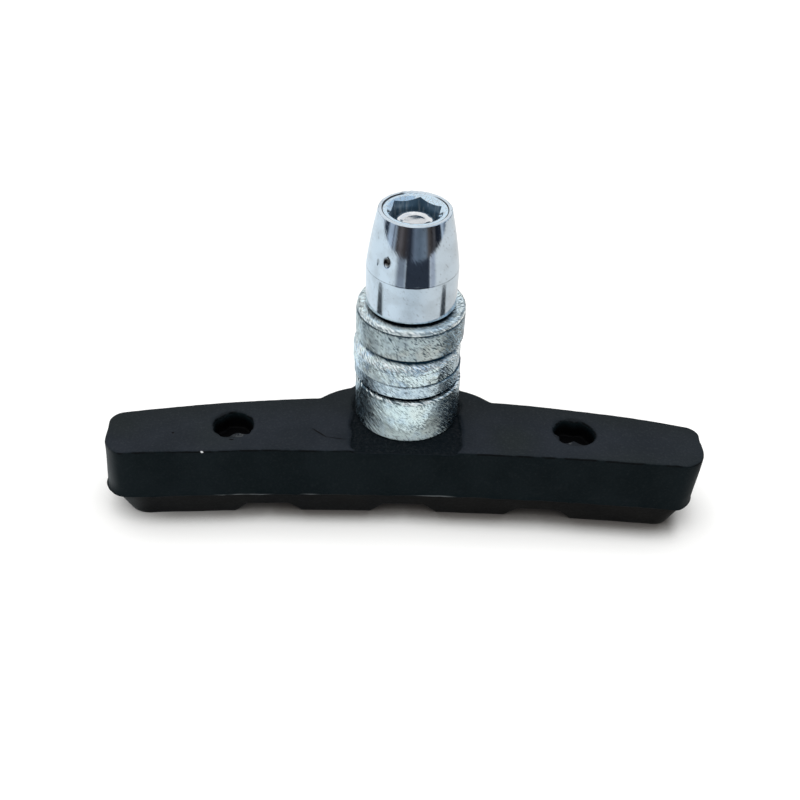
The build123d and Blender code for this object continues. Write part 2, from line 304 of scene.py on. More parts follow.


# zinc plate: tint, stain and wear of each washer, and the light and shade painted on it. strokes gives their width,
# relief and share, dashes their level and strength, greased the radii inside which the seat gets painted shade, bare
# the height of a face kept clear of that shade. shades (painted dark reflection on the sides), drip (painted shade
# that reaches further out) and bloom (matt white) are (degrees about the axis, half width, strength). lines (dark
# rings, most of them painted shade where one washer meets the next) are (height, half width, strength), and beads
# (painted highlights along rounded edges) also have the strength of their gaps
zincLook = {
    "lowerCup": {"pale": (0.82, 0.99, 1.0), "dull": (0.72, 0.90, 0.98), "stain": (0.86, 0.86, 0.76),
        "stainShare": 0.2, "roughness": 0.22, "dashes": (0.605, 0.75), "strokes": (0.12, 0.03, 0.1),
        "paintedSeatShade": (5.6, 5.75), "shades": [(-18, 42, 0.8), (-162, 44, 0.78)],
        "bloom": [(-90, 56, 1.0), (45, 50, 0.6), (130, 40, 0.6)],
        "lines": [(lowerCupHigh[2] - 0.4, 0.07, 0.5)], "beads": [(lowerCupHigh[2] - 0.1, 0.3, 1.0, 0.8)]},
    "lowerDome": {"pale": (0.69, 0.84, 0.92), "dull": (0.55, 0.69, 0.80), "stain": (0.50, 0.50, 0.42),
        "stainShare": 0.15, "roughness": 0.24, "dashes": (0.60, 0.6), "strokes": (0.12, 0.04, 0.25),
        "paintedSeatShade": (5.85, 5.95), "bare": lowerDomeHigh[2], "shades": [(-18, 40, 0.9), (-160, 38, 0.75)],
        "bloom": [(-90, 50, 0.4), (90, 60, 0.4)],
        "lines": [(lowerDomeHigh[2], 0.10, 0.8)], "beads": []},
    "upperDome": {"pale": (0.84, 0.99, 1.0), "dull": (0.64, 0.83, 1.0), "stain": (0.62, 0.60, 0.48),
        "stainShare": 0.15, "roughness": 0.17, "dashes": (0.59, 0.65), "strokes": (0.13, 0.07, 0.25),
        "paintedSeatShade": (5.5, 5.8), "bare": upperDomeLow[2], "shades": [(-10, 36, 0.55)],
        "bloom": [(-120, 40, 0.35), (70, 60, 0.3)],
        "lines": [(upperDomeLow[2], 0.10, 0.8), (19.55, 0.07, 0.5), (18.75, 0.05, 0.25)],
        "beads": [(20.25, 0.5, 0.9, 0.05)]},
    "upperCup": {"pale": (0.57, 0.67, 0.68), "dull": (0.44, 0.53, 0.56), "stain": (0.58, 0.58, 0.51),
        "stainShare": 0.4, "roughness": 0.3, "dashes": (0.58, 0.85), "strokes": (0.11, 0.03, 0.12),
        "paintedSeatShade": (5.6, 5.75), "shades": [(-22, 38, 0.7), (-147, 9, 0.5)],
        "bloom": [(-100, 50, 0.3), (80, 60, 0.3)],
        "lines": [(upperCupHigh[2], 0.12, 0.9), (upperCupLow[2] + 0.02, 0.2, 0.9)], "beads": []},
    "flatWasher": {"pale": (0.88, 1.0, 1.0), "dull": (0.72, 0.90, 1.0), "stain": (0.55, 0.55, 0.50),
        "stainShare": 0.1, "roughness": 0.14, "dashes": (0.59, 0.8), "strokes": (0.11, 0.05, 0.5),
        "paintedSeatShade": (4.7, 5.0), "paintedShadeSpread": [(-78, 75, 0.3)], "shades": [(-20, 24, 0.3)],
        "bloom": [(-95, 60, 0.35), (90, 60, 0.35)],
        "lines": [(flatWasherLow[2], 0.13, 0.9)], "beads": [(flatWasherHigh[2] - 0.3, 0.3, 1.0, 0.45)]},
}
zincDark = (0.010, 0.038, 0.064)
# colours of painted highlights: in the open, and inside the painted dark sides
zincBright = (0.92, 0.99, 1.0)
zincShaded = (0.48, 0.78, 1.0)


# tumbled zinc: sparse slanting dashes that wind round the piece, painted highlights in bright strokes (most where the
# sides are painted dark), stained patches, matt bloom, painted dark reflection on the sides, ragged rings at its edges
# (painted shade where washers meet, painted highlights on rounded edges) and painted shade in the seat
def zincFinish(name, look, radius, low):
    material, shade, shader = newFinish(name)
    place = placeOf(shade)
    x, y, height, across = partsOf(place)
    # up the wall and inwards over the flat is one path, and the strokes turn about the axis along it
    path = height - across
    unrolled = shade.node("ShaderNodeCombineXYZ", None, {0: x / across * radius, 1: y / across * radius, 2: path})
    wound = woundRound(unrolled, path * (1.0 / radius))
    strokeSize, relief, strokeShare = look["strokes"]
    dashLevel, dashStrength = look["dashes"]
    strokes = noise(laid(wound, stretch=(1, 1, 0.2)), strokeSize, 0.5, 0.5)
    dashes = noise(laid(wound, move=(7, 3, 1), stretch=(1, 1, 0.36)), strokeSize, 0.5, 0.5)
    pearls = noise(laid(wound, move=(1, 6, 2), stretch=(1, 1, 0.3)), 0.26, 0.0)
    clusters = noise(laid(place, move=(2, 5, 8)), 1.1, 2.0)
    cloud = noise(place, 1.5, 3.0, 0.6)
    patch = noise(laid(place, move=(3, 9, 4)), 2.6, 2.0)
    azimuth = shade.math("ARCTAN2", y, x) * (180 / math.pi) + (strokes - 0.5) * 60 + (cloud - 0.5) * 30

    # smooth humps round the axis, with ragged ends
    def humps(places):
        total = azimuth * 0
        for degrees, halfWidth, strength in places:
            total = total + nearTo(azimuth, degrees, halfWidth * 0.45, halfWidth) * strength
        return total

    # a ring round the piece at this height, with ragged sides
    def ragged(level, halfWidth):
        return nearTo(height + (strokes - 0.5) * 0.35, level, halfWidth * 0.5, halfWidth)

    # painted dark reflection on the sides, standing for the dark rubber and room mirrored there
    shadow = humps(look["shades"])
    dent = between(dashes + (clusters - 0.5) * 0.35, dashLevel, dashLevel + 0.05)
    # bright strokes are painted highlights, most of them inside the painted dark sides
    bright = between(strokes, 0.53, 0.60) * shade.math("MINIMUM", shadow * 0.9 + strokeShare, 1.0)
    colour = mixed(between(cloud, 0.42, 0.68), look["pale"], look["dull"])
    colour = mixed(between(patch, 0.52, 0.66) * look["stainShare"], colour, look["stain"])
    colour = mixed(shadow * 0.95, colour, zincDark)
    colour = mixed(bright, colour, mixed(shadow, zincBright, zincShaded))
    # beads: painted highlights along rounded edges, with darker gaps
    for level, halfWidth, strength, gap in look["beads"]:
        band = ragged(level, halfWidth)
        colour = mixed(band * below(pearls, 0.42, 0.48) * gap, colour, zincDark)
        colour = mixed(band * between(pearls, 0.48, 0.54) * strength, colour, zincBright)
    colour = mixed(dent * dashStrength, colour, zincDark)
    # dark rings, most of them painted shade where one washer meets the next
    onWall = between(across, radius - 0.35, radius - 0.2)
    for level, halfWidth, strength in look["lines"]:
        colour = mixed(ragged(level, halfWidth) * onWall * strength, colour, zincDark)
    # painted shade in the seat, inside a radius, spreading further out at some angles
    paintedSeatShade = below(across + (strokes - 0.5) * 0.5 - humps(look.get("paintedShadeSpread", [])), *look["paintedSeatShade"])
    if "bare" in look:
        paintedSeatShade = paintedSeatShade * between(abs(height - look["bare"]), 0.03, 0.12)
    colour = mixed(paintedSeatShade, colour, zincDark)
    # the bloom is thickest at the foot
    bloom = humps(look["bloom"]) * (1 - paintedSeatShade) * (0.9 - between(height, low + 0.5, low + 2.5) * 0.55)
    roughness = look["roughness"] + (cloud - 0.5) * 0.2 + dent * 0.2 + paintedSeatShade * 0.2
    shade.feed(shader, {"Base Color": colour, "Metallic": 1 - bloom, "Roughness": roughness})
    shade.feed(shader, {"Normal": bumped(strokes - dent * 0.6, relief)})
    return material


nutLook = {
    "plate": (0.61, 0.70, 0.78),
    "veil": (0.52, 0.59, 0.65),
    "speck": (0.2, 0.2, 0.2),
    "pit": (0.05, 0.045, 0.04),
    "socket": ((0.07, 0.14, 0.21), (0.22, 0.30, 0.37)),
    "dish": (0.58, 0.74, 0.87),
    "socketReach": 3.0,  # radius that holds the hex socket
    # colour of the painted shade in the crease and at the foot, and of the seam's line
    "crease": (0.05, 0.06, 0.07),
    "roughness": 0.055,
    "barrelRoughness": 0.14,
    # degrees, height, half sizes, depth and how dark
    "pits": [(-126.5, 32.62, 0.36, 0.50, 0.20, 1.0), (-141.3, 32.13, 0.16, 0.36, 0.06, 0.45)],
}


# bright plating: a faint veil, drawn scratches and specks, two pits, a dark socket, and painted shade in the crease by
# the lip and at the foot
def nutFinish(look, shape, radius):
    material, shade, shader = newFinish("bright plating")
    place = placeOf(shade)
    x, y, height, across = partsOf(place)
    facing = axisOf(shade.node("ShaderNodeNewGeometry", output="True Normal"), "Z")
    wound = woundRound(place, height * (0.7 / radius))
    scratches = noise(laid(wound, stretch=(1, 1, 0.08)), 0.16, 1.0)
    cloud = noise(place, 1.8, 3.0)
    specks = between(noise(laid(wound, stretch=(1, 1, 0.5)), 0.2, 1.0), 0.67, 0.73)
    colour = mixed(between(cloud, 0.4, 0.7), look["plate"], look["veil"])
    colour = mixed(specks * 0.5, colour, look["speck"])
    for angle, level, wide, tall, depth, dark in look["pits"]:
        turn = math.radians(angle)
        at = (radius * 0.94 * math.cos(turn), radius * 0.94 * math.sin(turn), level)
        pit = spot(place, at, (wide * 1.3, wide, tall), turn + math.pi / 2, 0.3)
        colour = mixed(pit * dark, colour, look["pit"])
    # bluish dish, and streaks that run down the socket's dull walls
    dishLevel = nutHigh[2] - shape["dish"]
    dishRadius = shape["topRadius"] - shape["lip"] - shape["land"]
    onDish = between(facing, 0.5, 0.6) * below(across, dishRadius - 0.1, dishRadius)
    onDish = onDish * between(height, dishLevel - 0.7, dishLevel - 0.6)
    colour = mixed(onDish, colour, mixed(between(scratches, 0.5, 0.62), look["dish"], look["veil"]))
    inner = below(across, look["socketReach"] - 0.05, look["socketReach"])
    inSocket = larger(inner * below(abs(facing), 0.3, 0.5), below(height, dishLevel - 0.72, dishLevel - 0.66)) * inner
    streaks = noise(laid(place, stretch=(1, 1, 0.2)), 0.35, 2.0)
    colour = mixed(inSocket, colour, mixed(between(streaks, 0.45, 0.7), *look["socket"]))
    # painted shade in the crease by the lip: dark at the sides, and widest far on the left
    left, rear = 0 - x / across, y / across
    farLeft = between(left, 0.25, 0.45) * between(rear, 0.0, 0.3)
    crease = below(abs(across - dishRadius) - farLeft * 0.05, 0.03, 0.09)
    crease = crease * between(height, nutHigh[2] - 0.5, nutHigh[2] - 0.4)
    crease = crease * larger(farLeft, between(abs(left), 0.5, 0.8))
    footLevel, seamLevel = nutLow[2] + shape["footChamfer"], nutLow[2] + shape["barrel"]
    # painted shade on the foot's chamfer, and a dark line along the seam
    foot = below(height, footLevel - 0.1, footLevel + 0.03)
    seam = below(abs(height - seamLevel) + (scratches - 0.5) * 0.1, 0.015, 0.05)
    colour = mixed(larger(seam * 0.7, larger(crease, foot)), colour, look["crease"])
    onBarrel = below(height, seamLevel - 0.1, seamLevel)
    roughness = look["roughness"] + onBarrel * (look["barrelRoughness"] - look["roughness"])
    roughness = roughness + between(scratches, 0.6, 0.75) * 0.1 + (cloud - 0.5) * 0.06 + inSocket * 0.25
    shade.feed(shader, {"Base Color": colour, "Metallic": 1 - inSocket * 0.7, "Roughness": roughness})
    shade.feed(shader, {"Normal": bumped(scratches * 0.5 + cloud * 0.3, 0.004)})
    return material


# roughness, size of the grain and radius inside which the steel is dull
steelLook = {
    "worn stud steel": {"pale": (0.88, 0.90, 0.92), "dark": (0.74, 0.76, 0.78), "wear": (0.14, 0.9, 1.3)},
    "backing plate steel": {"pale": (0.46, 0.46, 0.47), "dark": (0.34, 0.34, 0.35), "wear": (0.4, 0.4, 0.5)},
}
steelDull = (0.40, 0.42, 0.45)


# bare steel with a worn, grainy face, duller inside a radius
def steelFinish(name):
    look = steelLook[name]
    roughness, grainSize, dullRadius = look["wear"]
    material, shade, shader = newFinish(name)
    place = placeOf(shade)
    grain = noise(place, grainSize, 3.0, 0.65)
    cloud = noise(place, grainSize * 5, 2.0)
    colour = mixed(between(grain * 0.6 + cloud * 0.4, 0.38, 0.62), look["dark"], look["pale"])
    across = partsOf(place)[3]
    inner = below(across + (grain - 0.5) * 0.5, dullRadius - 0.25, dullRadius + 0.15)
    colour = mixed(inner * 0.4, colour, steelDull)
    shade.feed(shader, {"Base Color": colour, "Metallic": 1.0, "Roughness": roughness + (grain - 0.5) * 0.3})
    shade.feed(shader, {"Normal": bumped(grain, 0.006)})
    return material


# soft random surface: the mean of cosine waves in random directions, with lumps of about this size
def ripple(points, size, seed, waves=20):
    draw = np.random.default_rng(seed)
    direction = draw.normal(size=(waves, points.shape[-1]))
    direction /= np.linalg.norm(direction, axis=1, keepdims=True)
    rate = math.pi / (size * draw.uniform(0.7, 1.4, waves))
    phase = draw.uniform(0, 2 * math.pi, waves)
    return np.cos(points @ (direction * rate[:, None]).T + phase).sum(-1) / math.sqrt(waves)


# signed turn from one direction to another, in degrees
def turnFrom(start, degrees):
    return (degrees - start + 180) % 360 - 180


# unit vectors round the stud's axis at these degrees
def spokes(degrees):
    return np.stack([np.cos(np.radians(degrees)), np.sin(np.radians(degrees))], -1)


def smoothStep(value, low, high):
    share = np.clip((value - low) / (high - low), 0, 1)
    return share * share * (3 - 2 * share)


# the larger of two heights, with the crease between them rounded over this width
def softMax(first, second, width):
    blend = np.clip(width - np.abs(first - second), 0, None) / width
    return np.maximum(first, second) + blend**2 * width / 4


# every cell of a grid of vertex numbers as a quad; a wrapped grid joins its last line to its first
def cells(index, wrapRows=False, wrapColumns=False):
    if wrapRows:
        index = np.vstack([index, index[:1]])
    if wrapColumns:
        index = np.hstack([index, index[:, :1]])
    corners = [index[:-1, :-1], index[:-1, 1:], index[1:, 1:], index[1:, :-1]]
    return np.stack(corners, -1).reshape(-1, 4)


# a closed piece from points in millimetres, riding on a body in place of its CAD node; caps are rings to close, and
# edges that turn by more degrees than crisp stay sharp
def addPiece(name, points, quads, finish, body, node, caps=(), crisp=180.0):
    corners = points[quads]
    volume = np.einsum("ij,ij->i", corners[:, 0], np.cross(corners[:, 1], corners[:, 2])).sum()
    turn = 1
    if volume < 0:
        turn = -1
    faces = quads[:, ::turn].tolist() + [cap[::turn].tolist() for cap in caps]
    mesh = bpy.data.meshes.new(name)
    mesh.from_pydata((points * mm).tolist(), [], faces)
    mesh.shade_smooth()
    if crisp < 180:
        mesh.set_sharp_from_angle(angle=math.radians(crisp))
    mesh.materials.append(finish)
    piece = newObject(name, mesh)
    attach(piece, body)
    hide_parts(node)
    print(name, "has", len(faces), "faces")


padShape = {
    "front": 8.5,  # stud axis to the hollow edge
    "back": 1.92,  # stud axis to the bulging edge, beside the boss
    "frontArc": 370.0,
    "backArc": 141.0,
    "frontCorner": 2.9,
    "backCorner": 1.25,
    "parting": 3.7,  # height of the mould's parting line
    "draft": 3.0,  # degrees
    "edgeRound": 0.3,
    "shoulderAngle": 28.0,
    "flare": 10.7,
    "flareBulge": 0.35,
    "creaseRound": 0.8,
    "ledge": 0.25,
    "frontSlope": 0.75,
    "backSlope": 0.5,
    "endSlope": 1.75,
    "blockEdge": 0.1,  # rounding of the blocks' lower edges
    "endTrim": 0.35,  # the moulding's ends fall this far short of the drawn length
    "leftLean": 0.34,  # the left end leans in by this at its top, and reaches out by this as a whole
    "leftReach": 0.13,
    "rightLean": 0.35,  # the right end leans in by this at its foot, and falls short by this as a whole
    "rightTrim": 0.17,
    "endSlant": 0.035,  # the ends stand out more at the back, by this much for each millimetre
    "leftBlock": (-0.16, 0.36),  # the left block reaches out by this at its top, and this more at its foot
    "endFade": (4, 0.5),  # how far from the end these changes start, and are whole
    # bumps and nicks at the right end's upper edge and along the flash: x, y, reach, width
    "rimNicks": [(34.6, -5.0, -0.07, 0.4), (34.6, -6.3, 0.07, 0.35)],
    "flashBumps": [(-34.6, -6.6, 0.2, 1.1), (-34.0, -8.6, 0.03, 1.5)],
    "grooves": (-16.1, 0.0, 16.1),
    "grooveMouth": 8.0,
    "grooveFloor": 4.8,
    "grooveDepth": 1.5,
    "holeSkin": 0.06,  # rubber left over the plate at the foot of the pin holes
    "pocketHalf": 6.45,
    "pocketDepth": 0.35,
    "pocketCorner": 2.0,
    "straight": 26.0,  # the rings' points keep their X up to here
    "alongSteps": 330,
    "cornerSteps": 18,
    "acrossSteps": 62,
    "flashTip": 0.05,  # how far the flash stands out, on the whole
}
# centre, radius and dents of the two pin holes; a dent is (degrees, depth, half width in degrees)
pinHoles = [
    {"at": (-20.1, -4.1), "radius": 2.34, "dents": [(-70, 0.80, 25), (134, 0.28, 14), (-42, -0.25, 13)]},
    {"at": (19.7, -4.0), "radius": 2.42,
        "dents": [(-96, 0.88, 20), (83, 0.50, 18), (-157, 0.42, 15), (-12, -0.2, 25)]},
]


def rise(radius, x):
    return radius - np.sqrt(radius**2 - x**2)


# how far a rounded end corner draws an edge in, near the end of the pad
def cornerDraw(x, half, radius):
    over = np.clip(np.abs(x) - (half - radius), 0, radius)
    return radius - np.sqrt(np.maximum(radius**2 - over**2, 0))


# front edge: an arc that is hollow to the outside, lifted by the corners
def frontEdge(shape, x, inset, half):
    return inset - shape["front"] - rise(shape["frontArc"], x) + cornerDraw(x, half, shape["frontCorner"])


# back edge: the greatest of the bulging arc, the flare and, where there is one, the boss's circle
def backEdge(shape, x, inset, half, boss):
    arc = shape["back"] - inset - rise(shape["backArc"], x)
    if boss > 0:
        circle = boss - inset
        shoulderX = circle * math.cos(math.radians(shape["shoulderAngle"]))
        shoulderY = circle * math.sin(math.radians(shape["shoulderAngle"]))
        flare = shape["flare"] - inset
        rootY = shape["back"] - inset - rise(shape["backArc"], flare)
        along = (np.abs(x) - shoulderX) / (flare - shoulderX)
        swell = 4 * shape["flareBulge"] * np.clip(along * (1 - along), 0, None)
        arc = softMax(arc, shoulderY + along * (rootY - shoulderY) + swell, 0.25)
        dome = np.where(np.abs(x) < circle, np.sqrt(np.maximum(circle**2 - x**2, 0)), -shape["backArc"])
        arc = softMax(arc, dome, shape["creaseRound"])
    return arc - cornerDraw(x, half, shape["backCorner"])


# height of the pad's foot along its length: 0 on the blocks, up the sloped sides of the grooves
def footHeight(shape, x):
    run = (shape["grooveMouth"] - shape["grooveFloor"]) / 2
    height = np.zeros_like(x)
    for groove in shape["grooves"]:
        share = np.clip((shape["grooveMouth"] / 2 - np.abs(x - groove)) / run, 0, 1)
        height = np.maximum(height, share * shape["grooveDepth"])
    return height


# stations along the pad: even over its length, closer round the end corners and at each groove's edges
def padStations(shape, half):
    corner = shape["frontCorner"]
    turn = np.linspace(0, math.pi / 2, shape["cornerSteps"] + 1)[1:]
    end = half - corner + corner * np.sin(turn)
    x = np.linspace(corner - half, half - corner, shape["alongSteps"])
    for groove in shape["grooves"]:
        for reach in (shape["grooveMouth"] / 2, shape["grooveFloor"] / 2):
            for edge in (groove - reach, groove + reach):
                x[np.argmin(np.abs(x - edge))] = edge
    return np.concatenate([-end[::-1], x, end])


# plan of the pad at insets from its front, back and ends, as a grid from the front edge to the back edge; its points
# keep their X up to straight, and past it they are drawn in with the end
def padPlan(shape, stations, half, insets, boss=0.0):
    front, back, end = insets
    reach, straight, rows = half - end, shape["straight"], shape["acrossSteps"]
    stretched = straight + (np.abs(stations) - straight) * ((reach - straight) / (half - straight))
    x = np.where(np.abs(stations) > straight, np.sign(stations) * stretched, stations)
    frontY = frontEdge(shape, x, front, reach)
    backY = backEdge(shape, x, back, reach, boss)
    y = frontY[:, None] + (backY - frontY)[:, None] * np.linspace(0, 1, rows)
    return np.stack([np.repeat(x[:, None], rows, 1), y], -1)


# walk round a grid's edge: its first column, last row, last column backwards and first row backwards
def edgeWalk(grid):
    return np.concatenate([grid[:, 0], grid[-1, 1:-1], grid[::-1, -1], grid[0, -2:0:-1]])


# bumps along a ring, each a bell of that reach and width about a point
def bells(ring, bumps):
    total = np.zeros(len(ring))
    for x, y, reach, width in bumps:
        total += reach * np.exp(-((ring[:, 0] - x) ** 2 + (ring[:, 1] - y) ** 2) / width**2)
    return total


# how deep the pocket round the washers lies at a point: a rounded rectangle and a circle, with soft edges
def pocketDip(shape, plan):
    half, corner = shape["pocketHalf"], shape["pocketCorner"]
    x, y = plan[..., 0], plan[..., 1]
    overX = np.abs(x) - (half - corner)
    overY = np.abs(y + shape["front"] / 2) - (shape["front"] / 2 - corner)
    outside = np.hypot(np.maximum(overX, 0), np.maximum(overY, 0)) + np.minimum(np.maximum(overX, overY), 0)
    distance = np.minimum(outside - corner, np.hypot(x, y) - half)
    wander = 0.12 * ripple(plan, 1.6, 5)
    return shape["pocketDepth"] * (1 - smoothStep(distance + wander, -0.22, 0.18))


# sinks a pin hole into the top: rings of the grid are drawn on to the hole's wall, whose radius has dents
def sinkHole(points, hole, floorHeight):
    offset = points[..., :2] - np.array(hole["at"])
    reach = np.hypot(offset[..., 0], offset[..., 1])
    angle = np.degrees(np.arctan2(offset[..., 1], offset[..., 0]))
    dent = np.zeros_like(reach)
    for degrees, depth, width in hole["dents"]:
        dent += depth * np.exp(-((turnFrom(degrees, angle) / width) ** 2))
    radius = hole["radius"] - dent + 0.04 * ripple(points[..., :2], 0.7, 11)
    floorEdge, wallTop, outer = 1.7, 3.0, 3.9  # the grid's own rings that become the wall's foot and lip
    lip = [wallTop - 0.35, wallTop - 0.15, wallTop]
    wall = np.interp(reach, [0, floorEdge, *lip], [0, 0.92, 0.97, 1.01, 1.10])
    drawn = np.where(reach < wallTop, wall * radius, 0)
    outerShare = np.clip((reach - wallTop) / (outer - wallTop), 0, 1)
    drawn = np.where(reach >= wallTop, radius * 1.10 * (1 - outerShare) + outer * outerShare, drawn)
    drawn = np.where(reach >= outer, reach, drawn)
    scale = drawn / np.maximum(reach, 1e-6)
    sunk = points.copy()
    sunk[..., :2] = np.array(hole["at"]) + offset * scale[..., None]
    down = np.interp(reach, [floorEdge, *lip, wallTop + 0.25], [1, 0.16, 0.06, 0.012, 0])
    sunk[..., 2] = points[..., 2] + (floorHeight - points[..., 2]) * down
    return sunk


# the moulding's ends: they lean, slant and reach out or fall short, each by a smooth step over the last millimetres
def endsDrawn(shape, points, half, top):
    parting = shape["parting"]
    fadeStart, fadeEnd = shape["endFade"]
    x, y, height = points.T.copy()
    sunk = smoothStep(height, top, parting)

    # 1 at the end on this side, 0 away from it
    def atEnd(side):
        return smoothStep(side * x, half - fadeStart, half - fadeEnd)

    x += (shape["leftLean"] * (1 - sunk) - shape["leftReach"]) * atEnd(-1)
    x -= (shape["rightLean"] * sunk + shape["rightTrim"]) * atEnd(1)
    x += shape["endSlant"] * (y + shape["front"] - 3) * (atEnd(1) - atEnd(-1))
    blockTop, blockFoot = shape["leftBlock"]
    onBlock = smoothStep(parting - height, 0.02, 0.1) * smoothStep(-x, half - 7, half - 2)
    x -= onBlock * (blockTop + blockFoot * (1 - height / parting))
    return np.column_stack([x, y, height])


# the pad: a top with its pocket and holes, rings down the wall, over the flash and the blocks, and the grooved foot
def makePad(shape, finish):
    half, top, boss = padHigh[0] - shape["endTrim"], padHigh[2], padHigh[1]
    parting, edge, ledge, rows = (shape[name] for name in ("parting", "edgeRound", "ledge", "acrossSteps"))
    stations = padStations(shape, half)
    lean = math.tan(math.radians(shape["draft"]))
    wallInset = (top - edge - parting) * lean

    topPlan = padPlan(shape, stations, half, [wallInset + edge, wallInset + edge, edge], boss)
    dip = pocketDip(shape, topPlan)
    level = top - dip + 0.035 * ripple(topPlan, 6.0, 1) * (dip < 0.01) + 0.03 * ripple(topPlan, 0.9, 2) * (dip > 0.1)
    topPoints = np.dstack([topPlan, level])
    for hole in pinHoles:
        topPoints = sinkHole(topPoints, hole, plateTop + shape["holeSkin"])
    rimLevel = edgeWalk(level)
    rings = []

    # a ring of the wall: the outline at these insets, pushed along its own normal
    def wallRing(insets, height, push=0.0, ringBoss=boss):
        plan = edgeWalk(padPlan(shape, stations, half, insets, ringBoss))
        ahead = np.roll(plan, -1, 0) - np.roll(plan, 1, 0)
        normal = np.stack([ahead[:, 1], -ahead[:, 0]], -1)
        normal /= np.maximum(np.linalg.norm(normal, axis=1, keepdims=True), 1e-9)
        plan = plan + normal * np.reshape(push, (-1, 1))
        rings.append(np.column_stack([plan, np.broadcast_to(height, len(plan))]))

    rim = edgeWalk(topPlan)
    ragged = 0.014 * ripple(rim, 1.1, 21) + 0.012 * ripple(rim, 0.45, 22) + bells(rim, shape["rimNicks"])
    for turn in np.linspace(0, math.pi / 2, 7)[1:]:
        share = math.sin(turn)
        inset = wallInset + edge * (1 - share)
        wallRing([inset, inset, edge * (1 - share)], rimLevel - edge * (1 - math.cos(turn)), ragged * share)
    wave = 0.02 * ripple(rim, 7.0, 23)
    for share in np.linspace(0, 1, 12)[1:]:
        height = (rimLevel - edge) * (1 - share) + (parting + 0.32) * share
        inset = (height[0] - parting) * lean
        wallRing([inset, inset, 0.0], height, ragged * (1 - share) ** 3 + wave * math.sin(math.pi * share))

    # flash: a thin uneven fin along the parting line
    fin = shape["flashTip"] * (1 + 0.7 * ripple(rim, 2.2, 31) + 0.5 * ripple(rim, 0.7, 32))
    fin = np.clip(fin + bells(rim, shape["flashBumps"]), 0.015, None)
    drop = 0.05 * ripple(rim, 3.0, 33)
    for out, height in ((0.12, 0.22), (0.45, 0.13), (0.95, 0.06), (1.0, -0.02), (0.5, -0.07)):
        wallRing([0.0] * 3, parting + height + drop, fin * out)
    wallRing([ledge - 0.1] * 3, parting - 0.06 + drop)

    # insets of the blocks' leaning sides at this height along the pad, tucked in at the lower edge
    def blockInsets(height, tuck):
        shrink = 1 - height / parting
        front, back = (ledge + shape[name] * shrink + tuck for name in ("frontSlope", "backSlope"))
        return [front, back, ledge + shape["endSlope"] * shrink[0] + tuck]

    foot = footHeight(shape, stations)
    blockTop = parting - 0.08
    edgeStart = 0.955  # share of a block's height below which its lower edge is rounded
    for share in np.concatenate([np.linspace(0, edgeStart, 11), [0.975, 0.99]]):
        height = blockTop - share * (blockTop - foot)
        tuck = 0.7 * shape["blockEdge"] * max(share - edgeStart, 0) / (1 - edgeStart)
        level = edgeWalk(np.repeat(height[:, None], rows, 1))
        wallRing(blockInsets(height, tuck), level, 0.03 * ripple(rim, 2.5, 41), 0.0)
    footPlan = padPlan(shape, stations, half, blockInsets(foot, shape["blockEdge"]))
    footPoints = np.dstack([footPlan, np.repeat(foot[:, None], rows, 1)])

    grid = np.arange(len(stations) * rows).reshape(len(stations), rows)
    loop = len(rim)
    middle = grid.size + np.arange(len(rings) * loop).reshape(len(rings), loop)
    bottom = grid + grid.size + middle.size
    wall = np.vstack([edgeWalk(grid), middle, edgeWalk(bottom)])
    points = np.concatenate([topPoints.reshape(-1, 3), *rings, footPoints.reshape(-1, 3)])
    quads = np.concatenate([cells(grid)[:, ::-1], cells(wall, wrapColumns=True)[:, ::-1], cells(bottom)])
    addPiece("rubberPad", endsDrawn(shape, points, half, top), quads, finish, "pad", "pad_body")


# section of a turned piece: an outline of (radius, height) corners, each rounded, then cut into short steps,
# which are longer where nobody looks, inside a radius
def section(corners, rounds, step, arcSteps=5, closed=True, hidden=0.0):
    corners = np.array(corners, float)
    outline = []
    for corner, before, after, size in zip(corners, np.roll(corners, 1, 0), np.roll(corners, -1, 0), rounds):
        if size <= 0:
            outline.append(corner[None])
            continue
        before, after = before - corner, after - corner
        before, after = before / np.linalg.norm(before), after / np.linalg.norm(after)
        halfAngle = math.acos(np.clip(before @ after, -1, 1)) / 2
        centre = corner + (before + after) / np.linalg.norm(before + after) * size / math.sin(halfAngle)
        reach = size / math.tan(halfAngle)
        first, last = corner + before * reach - centre, corner + after * reach - centre
        sweep = math.pi - 2 * halfAngle
        share = np.linspace(0, 1, arcSteps)[:, None]
        outline.append(centre + (np.sin((1 - share) * sweep) * first + np.sin(share * sweep) * last) / math.sin(sweep))
    outline = np.concatenate(outline)
    ahead = np.roll(outline, -1, 0)
    steps = np.where(np.maximum(ahead[:, 0], outline[:, 0]) > hidden, step, 5 * step)
    counts = np.maximum(np.ceil(np.linalg.norm(ahead - outline, axis=1) / steps).astype(int), 1)
    if not closed:
        counts[-1] = 1
    shares = [np.linspace(0, 1, count, endpoint=False)[:, None] for count in counts]
    return np.concatenate([a + (b - a) * share for a, b, share in zip(outline, ahead, shares)])


# points of a ball's section from one radius to another, above (+1) or below (-1) its centre
def ballArc(centre, ball, start, end, side, count=14):
    radius = np.linspace(start, end, count)
    return np.column_stack([radius, centre + side * np.sqrt(ball**2 - radius**2)])


